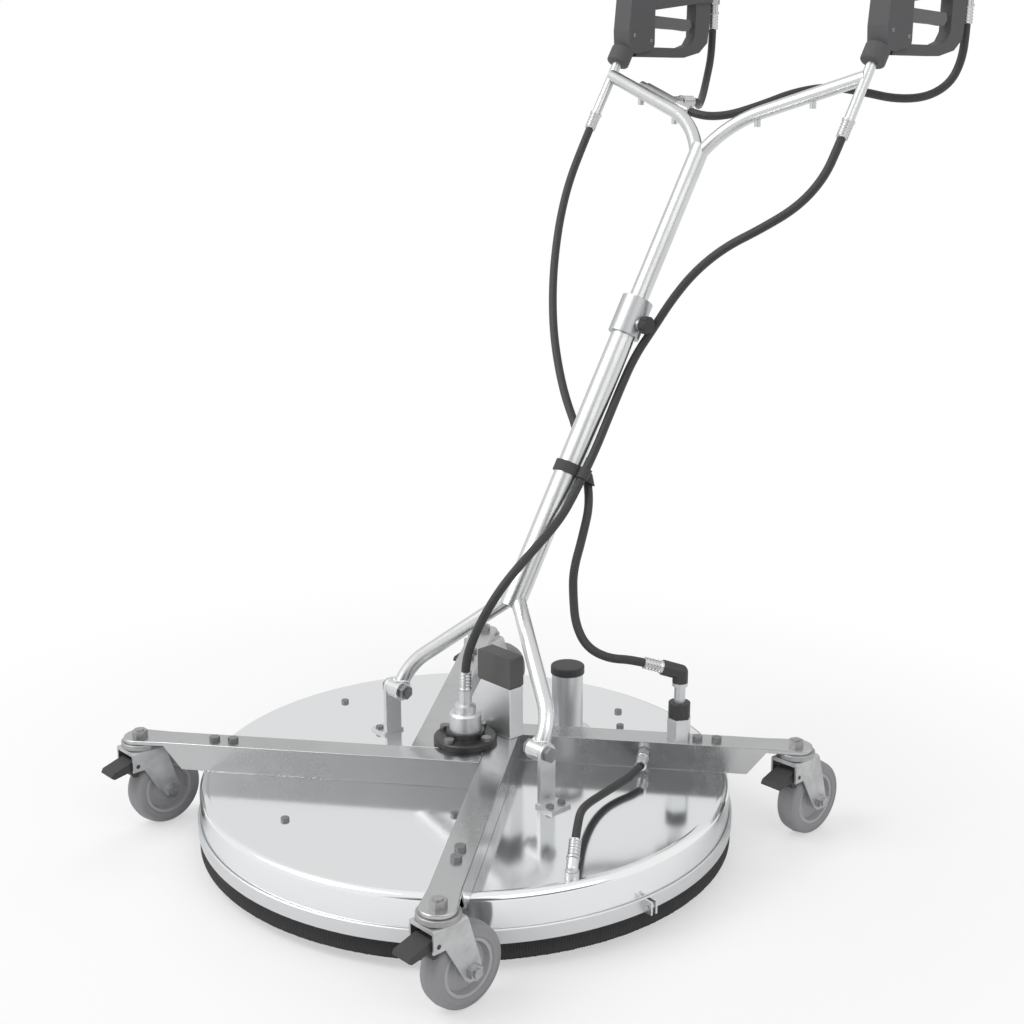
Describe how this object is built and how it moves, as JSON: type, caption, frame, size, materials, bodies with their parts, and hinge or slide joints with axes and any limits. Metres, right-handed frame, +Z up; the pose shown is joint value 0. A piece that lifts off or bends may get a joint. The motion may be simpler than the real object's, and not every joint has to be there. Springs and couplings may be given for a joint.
{
  "type": "surface cleaner",
  "caption": "Round hooded rotary surface cleaner on swivel castors, with a spinning spray bar inside and a telescopic Y handle that ends in trigger guns.",
  "frame": {"origin": "the point on the floor under the axis of the deck", "axes": "+Z up from the floor; +Y from the deck's axis towards the operator, the way the handle leans; +X to the operator's left as they face the deck"},
  "size_m": [0.7662, 1.1767, 1.1987],
  "materials": {
    "mirror_steel": "mirror polished stainless sheet",
    "brush": "dense black bristle",
    "band_steel": "bright strip",
    "frame_steel": "brushed box section",
    "black_flange": "black",
    "housing_steel": "turned",
    "bearing_steel": "ground",
    "bracket_steel": "bent sheet",
    "bolt_steel": "plated",
    "port_steel": "welded tube",
    "black_cap": "moulded",
    "fitting_steel": "turned",
    "black_fitting": "blackened",
    "hose_rubber": "smooth hose cover",
    "pedestal_steel": "satin sheet",
    "rest_rubber": "moulded block",
    "castor_zinc": "zinc plated",
    "axle_steel": "plated",
    "rim_plastic": "moulded",
    "tyre_rubber": "grey tread",
    "pedal_plastic": "moulded",
    "rotor_steel": "turned and drawn",
    "nozzle_brass": "turned",
    "tube_steel": "satin tube",
    "collar_steel": "turned",
    "knob_plastic": "moulded",
    "clip_plastic": "moulded",
    "gun_plastic": "fine grained moulding",
    "trigger_plastic": "smooth moulding"
  },
  "bodies": {
    "chassis": {"deck_shell": "mirror_steel", "skirt_clamp_band": "band_steel", "brush_skirt": "brush", "frame_arm_front_right": "frame_steel", "frame_arm_rear_right": "frame_steel", "frame_arm_rear_left": "frame_steel", "frame_arm_front_left": "frame_steel", "swivel_flange": "black_flange", "swivel_housing": "housing_steel", "rotor_bearings": "bearing_steel", "pivot_brackets": "bracket_steel", "chassis_bolts": "bolt_steel", "suction_port": "port_steel", "suction_cap": "black_cap", "jet_fittings": "fitting_steel", "jet_collar": "black_fitting", "edge_jet_hose": "hose_rubber", "catch_pedestal": "pedestal_steel", "catch_block": "rest_rubber", "castor_heads": "castor_zinc"},
    "rotor": {"rotor_hub": "rotor_steel", "spray_bar": "rotor_steel", "spray_nozzles": "nozzle_brass"},
    "handle_lower": {"handle_fork": "tube_steel", "clamp_collar": "collar_steel", "hose_clip": "clip_plastic", "rotor_hose_lower": "hose_rubber", "jet_hose_lower": "hose_rubber"},
    "clamp_screw": {"clamp_knob": "knob_plastic"},
    "handle_upper": {"handlebar": "tube_steel", "feed_manifold": "fitting_steel", "gun_left": "gun_plastic", "gun_right": "gun_plastic", "gun_inlets": "fitting_steel", "feed_hose_left": "hose_rubber", "feed_hose_right": "hose_rubber", "rotor_hose_upper": "hose_rubber", "jet_hose_upper": "hose_rubber"},
    "trigger_left": {"trigger_left": "trigger_plastic"},
    "trigger_right": {"trigger_right": "trigger_plastic"},
    "castor_front_right": {"castor_fork_front_right": "castor_zinc", "castor_axle_front_right": "axle_steel"},
    "wheel_front_right": {"castor_rim_front_right": "rim_plastic", "castor_tyre_front_right": "tyre_rubber"},
    "brake_front_right": {"brake_pedal_front_right": "pedal_plastic"},
    "castor_rear_right": {"castor_fork_rear_right": "castor_zinc", "castor_axle_rear_right": "axle_steel"},
    "wheel_rear_right": {"castor_rim_rear_right": "rim_plastic", "castor_tyre_rear_right": "tyre_rubber"},
    "brake_rear_right": {"brake_pedal_rear_right": "pedal_plastic"},
    "castor_rear_left": {"castor_fork_rear_left": "castor_zinc", "castor_axle_rear_left": "axle_steel"},
    "wheel_rear_left": {"castor_rim_rear_left": "rim_plastic", "castor_tyre_rear_left": "tyre_rubber"},
    "brake_rear_left": {"brake_pedal_rear_left": "pedal_plastic"},
    "castor_front_left": {"castor_fork_front_left": "castor_zinc", "castor_axle_front_left": "axle_steel"},
    "wheel_front_left": {"castor_rim_front_left": "rim_plastic", "castor_tyre_front_left": "tyre_rubber"},
    "brake_front_left": {"brake_pedal_front_left": "pedal_plastic"}
  },
  "joints": [
    {"name": "rotor_spin", "type": "hinge", "parent": "chassis", "child": "rotor", "pos_m": [0, 0, 0.065], "axis": [0, 0, 1], "continuous": true},
    {"name": "handle_tilt", "type": "hinge", "parent": "chassis", "child": "handle_lower", "pos_m": [0, 0, 0.175], "axis": [1, 0, 0], "range_deg": [-25, 31], "deforming": ["rotor_hose_lower", "jet_hose_lower"]},
    {"name": "handle_slide", "type": "slide", "parent": "handle_lower", "child": "handle_upper", "axis": [0, 0.5195, 0.8545], "range_m": [-0.15, 0.1], "deforming": ["rotor_hose_upper", "jet_hose_upper"]},
    {"name": "clamp_turn", "type": "hinge", "parent": "handle_lower", "child": "clamp_screw", "pos_m": [0.035, 0.32106, 0.70306], "axis": [1, 0, 0], "continuous": true},
    {"name": "trigger_left_squeeze", "type": "hinge", "parent": "handle_upper", "child": "trigger_left", "pos_m": [-0.242, 0.60069, 1.14673], "axis": [1, 0, 0], "range_deg": [0, 9], "stiffness_Nm_per_rad": 1, "springref_deg": -20.05},
    {"name": "trigger_right_squeeze", "type": "hinge", "parent": "handle_upper", "child": "trigger_right", "pos_m": [0.242, 0.60069, 1.14673], "axis": [1, 0, 0], "range_deg": [0, 9], "stiffness_Nm_per_rad": 1, "springref_deg": -20.05},
    {"name": "castor_swivel_front_right", "type": "hinge", "parent": "chassis", "child": "castor_front_right", "pos_m": [0.32951, -0.32951, 0.127], "axis": [0, 0, 1], "continuous": true},
    {"name": "wheel_spin_front_right", "type": "hinge", "parent": "castor_front_right", "child": "wheel_front_right", "pos_m": [0.32951, -0.29651, 0.054], "axis": [1, 0, 0], "continuous": true},
    {"name": "brake_press_front_right", "type": "hinge", "parent": "castor_front_right", "child": "brake_front_right", "pos_m": [0.32951, -0.34751, 0.105], "axis": [1, 0, 0], "range_deg": [0, 12]},
    {"name": "castor_swivel_rear_right", "type": "hinge", "parent": "chassis", "child": "castor_rear_right", "pos_m": [0.32951, 0.32951, 0.127], "axis": [0, 0, 1], "continuous": true},
    {"name": "wheel_spin_rear_right", "type": "hinge", "parent": "castor_rear_right", "child": "wheel_rear_right", "pos_m": [0.32951, 0.36251, 0.054], "axis": [1, 0, 0], "continuous": true},
    {"name": "brake_press_rear_right", "type": "hinge", "parent": "castor_rear_right", "child": "brake_rear_right", "pos_m": [0.32951, 0.31151, 0.105], "axis": [1, 0, 0], "range_deg": [0, 12]},
    {"name": "castor_swivel_rear_left", "type": "hinge", "parent": "chassis", "child": "castor_rear_left", "pos_m": [-0.32951, 0.32951, 0.127], "axis": [0, 0, 1], "continuous": true},
    {"name": "wheel_spin_rear_left", "type": "hinge", "parent": "castor_rear_left", "child": "wheel_rear_left", "pos_m": [-0.32951, 0.36251, 0.054], "axis": [1, 0, 0], "continuous": true},
    {"name": "brake_press_rear_left", "type": "hinge", "parent": "castor_rear_left", "child": "brake_rear_left", "pos_m": [-0.32951, 0.31151, 0.105], "axis": [1, 0, 0], "range_deg": [0, 12]},
    {"name": "castor_swivel_front_left", "type": "hinge", "parent": "chassis", "child": "castor_front_left", "pos_m": [-0.32951, -0.32951, 0.127], "axis": [0, 0, 1], "continuous": true},
    {"name": "wheel_spin_front_left", "type": "hinge", "parent": "castor_front_left", "child": "wheel_front_left", "pos_m": [-0.32951, -0.29651, 0.054], "axis": [1, 0, 0], "continuous": true},
    {"name": "brake_press_front_left", "type": "hinge", "parent": "castor_front_left", "child": "brake_front_left", "pos_m": [-0.32951, -0.34751, 0.105], "axis": [1, 0, 0], "range_deg": [0, 12]}
  ]
}
